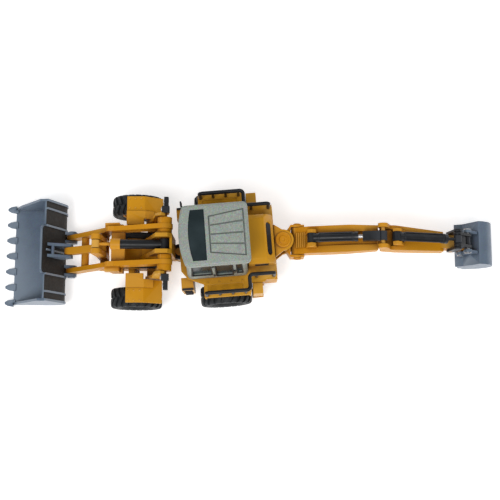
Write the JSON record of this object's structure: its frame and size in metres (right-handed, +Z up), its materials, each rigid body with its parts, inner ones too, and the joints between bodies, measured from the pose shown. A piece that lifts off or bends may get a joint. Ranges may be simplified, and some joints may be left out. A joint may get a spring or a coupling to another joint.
{
  "type": "toy backhoe loader",
  "caption": "Die-cast toy backhoe loader that steers at its waist, with a tilting loader bucket in front and a jointed digging arm behind.",
  "frame": {"origin": "centre of the bounding box at the ground, under the wheels", "axes": "-X towards the loader bucket, +X towards the digging arm, +Z up"},
  "size_m": [0.2598, 0.0616, 0.066],
  "materials": {
    "yellow_body": "satin",
    "yellow_arm": "satin",
    "bucket_grey": "satin",
    "black_plastic": "satin",
    "yellow_plastic": "satin",
    "roof_silver": "metallic satin",
    "dark_glass": "gloss",
    "pin_steel": "satin",
    "tyre_rubber": "matt"
  },
  "bodies": {
    "rear_body": {"chassis_base": "black_plastic", "base_screws": "pin_steel", "body_shell": "yellow_body", "engine_hood": "yellow_body", "hood_grille": "black_plastic", "cab_frame": "roof_silver", "cab_glass": "dark_glass", "cab_roof": "roof_silver", "roof_window": "dark_glass", "operator_seat": "black_plastic", "steering_wheel": "black_plastic", "handrails": "black_plastic", "steps": "yellow_plastic", "step_treads": "black_plastic", "stabiliser_housings": "yellow_body", "swing_bracket": "yellow_body", "pivot_pins": "yellow_arm"},
    "front_frame": {"front_frame": "yellow_body", "frame_pins": "yellow_arm", "front_mudguards": "yellow_body", "headlamps": "black_plastic"},
    "front_wheels": {"front_axle": "pin_steel", "front_rims": "yellow_plastic", "front_tyres": "tyre_rubber"},
    "rear_wheels": {"rear_axle": "pin_steel", "rear_rims": "yellow_plastic", "rear_tyres": "tyre_rubber"},
    "loader_arms": {"arm_left": "yellow_arm", "arm_right": "yellow_arm", "arm_cross_members": "yellow_arm", "arm_pins": "yellow_arm"},
    "lift_barrels": {"lift_barrels": "black_plastic"},
    "lift_rods": {"lift_rods": "pin_steel"},
    "tilt_crank": {"tilt_crank": "yellow_arm"},
    "tilt_link": {"tilt_link": "yellow_arm"},
    "tilt_barrel": {"tilt_barrel": "black_plastic"},
    "tilt_rod": {"tilt_rod": "yellow_arm"},
    "loader_bucket": {"loader_bucket": "bucket_grey", "bucket_back_panel": "black_plastic", "bucket_teeth": "bucket_grey", "loader_bucket_pins": "bucket_grey"},
    "swing_post": {"swing_post": "yellow_arm", "swing_post_pins": "yellow_arm"},
    "boom": {"boom": "yellow_arm", "boom_pins": "yellow_arm"},
    "boom_barrel": {"boom_barrel": "black_plastic"},
    "boom_rod": {"boom_rod": "pin_steel"},
    "stick": {"stick": "yellow_arm", "stick_pins": "yellow_arm"},
    "stick_barrel": {"stick_barrel": "black_plastic"},
    "stick_rod": {"stick_rod": "black_plastic"},
    "dig_bucket": {"dig_bucket": "bucket_grey", "dig_bucket_pins": "pin_steel"},
    "idler_link": {"idler_link": "black_plastic"},
    "bucket_link": {"bucket_link": "black_plastic"},
    "dig_barrel": {"dig_barrel": "black_plastic"},
    "dig_rod": {"dig_rod": "black_plastic"},
    "stabiliser_leg_left": {"stabiliser_leg_left": "yellow_arm"},
    "stabiliser_leg_right": {"stabiliser_leg_right": "yellow_arm"}
  },
  "joints": [
    {"name": "waist_steer", "type": "hinge", "parent": "rear_body", "child": "front_frame", "pos_m": [-0.03494, -0.00132, 0.014], "axis": [0, 0, 1], "range_deg": [-17.5, 26.5]},
    {"name": "front_wheels_spin", "type": "hinge", "parent": "front_frame", "child": "front_wheels", "pos_m": [-0.05764, -0.00132, 0.0135], "axis": [0, 1, 0], "continuous": true},
    {"name": "rear_wheels_spin", "type": "hinge", "parent": "rear_body", "child": "rear_wheels", "pos_m": [-0.01241, 0.00045, 0.0135], "axis": [-0.0785, 0.9969, 0], "continuous": true},
    {"name": "arm_lift", "type": "hinge", "parent": "front_frame", "child": "loader_arms", "pos_m": [-0.04044, -0.00132, 0.044], "axis": [0, 1, 0], "range_deg": [0, 30]},
    {"name": "lift_barrels_swing", "type": "hinge", "parent": "front_frame", "child": "lift_barrels", "pos_m": [-0.04594, -0.00132, 0.0228], "axis": [0, 1, 0], "range_deg": [-0.5, 26]},
    {"name": "lift_rods_swing", "type": "hinge", "parent": "loader_arms", "child": "lift_rods", "pos_m": [-0.06544, -0.00132, 0.0276], "axis": [0, 1, 0], "range_deg": [-5, 0.5]},
    {"name": "bucket_tilt", "type": "hinge", "parent": "loader_arms", "child": "loader_bucket", "pos_m": [-0.09344, -0.00132, 0.0075], "axis": [0, 1, 0], "range_deg": [-25, 10]},
    {"name": "tilt_crank_swing", "type": "hinge", "parent": "loader_arms", "child": "tilt_crank", "pos_m": [-0.07394, -0.00132, 0.02], "axis": [0, 1, 0], "range_deg": [-25.5, 10.5]},
    {"name": "tilt_link_swing", "type": "hinge", "parent": "tilt_crank", "child": "tilt_link", "pos_m": [-0.07344, -0.00132, 0.0325], "axis": [0, 1, 0], "range_deg": [-10.5, 25.5]},
    {"name": "tilt_barrel_swing", "type": "hinge", "parent": "loader_arms", "child": "tilt_barrel", "pos_m": [-0.04044, -0.00132, 0.044], "axis": [0, 1, 0], "range_deg": [-3.52, 1.71]},
    {"name": "tilt_rod_swing", "type": "hinge", "parent": "tilt_crank", "child": "tilt_rod", "pos_m": [-0.07444, -0.00132, 0.0455], "axis": [0, 1, 0], "range_deg": [-9.29, 22.48]},
    {"name": "arm_swing", "type": "hinge", "parent": "rear_body", "child": "swing_post", "pos_m": [0.01889, 0.00292, 0.025], "axis": [0, 0, 1], "range_deg": [-40.5, 49.5]},
    {"name": "boom_raise", "type": "hinge", "parent": "swing_post", "child": "boom", "pos_m": [0.02639, 0.00292, 0.026], "axis": [0, 1, 0], "range_deg": [-15, 15]},
    {"name": "boom_barrel_swing", "type": "hinge", "parent": "swing_post", "child": "boom_barrel", "pos_m": [0.02839, 0.00292, 0.014], "axis": [0, 1, 0], "range_deg": [-11.99, 11.99]},
    {"name": "boom_rod_swing", "type": "hinge", "parent": "boom", "child": "boom_rod", "pos_m": [0.04839, 0.00292, 0.0305], "axis": [0, 1, 0], "range_deg": [-4.01, 4.01]},
    {"name": "stick_fold", "type": "hinge", "parent": "boom", "child": "stick", "pos_m": [0.07129, 0.00292, 0.036], "axis": [0, 1, 0], "range_deg": [-10, 35]},
    {"name": "stick_barrel_swing", "type": "hinge", "parent": "boom", "child": "stick_barrel", "pos_m": [0.03309, 0.00292, 0.038], "axis": [0, 1, 0], "range_deg": [-0.61, 0.89]},
    {"name": "stick_rod_swing", "type": "hinge", "parent": "stick", "child": "stick_rod", "pos_m": [0.06809, 0.00292, 0.0446], "axis": [0, 1, 0], "range_deg": [-35.12, 10.39]},
    {"name": "dig_bucket_curl", "type": "hinge", "parent": "stick", "child": "dig_bucket", "pos_m": [0.11229, 0.00292, 0.018], "axis": [0, 1, 0], "range_deg": [-20, 35]},
    {"name": "idler_swing", "type": "hinge", "parent": "stick", "child": "idler_link", "pos_m": [0.10589, 0.00292, 0.0241], "axis": [0, 1, 0], "range_deg": [-20.7, 35.85]},
    {"name": "bucket_link_swing", "type": "hinge", "parent": "idler_link", "child": "bucket_link", "pos_m": [0.10769, 0.00292, 0.0336], "axis": [0, 1, 0], "range_deg": [-35.85, 20.7]},
    {"name": "dig_barrel_swing", "type": "hinge", "parent": "stick", "child": "dig_barrel", "pos_m": [0.07529, 0.00292, 0.0426], "axis": [0, 1, 0], "range_deg": [-0.76, 0.95]},
    {"name": "dig_rod_swing", "type": "hinge", "parent": "idler_link", "child": "dig_rod", "pos_m": [0.10769, 0.00292, 0.0336], "axis": [0, 1, 0], "range_deg": [-35.4, 20.44]},
    {"name": "stabiliser_left_slide", "type": "slide", "parent": "rear_body", "child": "stabiliser_leg_left", "axis": [0, 0, -1], "range_m": [0, 0.005]},
    {"name": "stabiliser_right_slide", "type": "slide", "parent": "rear_body", "child": "stabiliser_leg_right", "axis": [0, 0, -1], "range_m": [0, 0.005]}
  ],
  "couplings": [
    {"joint": "lift_barrels_swing", "follows": "arm_lift", "ratio": 0.85},
    {"joint": "lift_rods_swing", "follows": "arm_lift", "ratio": -0.15},
    {"joint": "tilt_crank_swing", "follows": "bucket_tilt", "ratio": 1},
    {"joint": "tilt_link_swing", "follows": "bucket_tilt", "ratio": -1},
    {"joint": "tilt_barrel_swing", "follows": "bucket_tilt", "ratio": 0.121},
    {"joint": "tilt_rod_swing", "follows": "bucket_tilt", "ratio": -0.879},
    {"joint": "boom_barrel_swing", "follows": "boom_raise", "ratio": 0.766},
    {"joint": "boom_rod_swing", "follows": "boom_raise", "ratio": -0.234},
    {"joint": "stick_barrel_swing", "follows": "stick_fold", "ratio": 0.011},
    {"joint": "stick_rod_swing", "follows": "stick_fold", "ratio": -0.989},
    {"joint": "idler_swing", "follows": "dig_bucket_curl", "ratio": 1.01},
    {"joint": "bucket_link_swing", "follows": "dig_bucket_curl", "ratio": -1.01},
    {"joint": "dig_barrel_swing", "follows": "dig_bucket_curl", "ratio": 0.013},
    {"joint": "dig_rod_swing", "follows": "dig_bucket_curl", "ratio": -0.997}
  ]
}
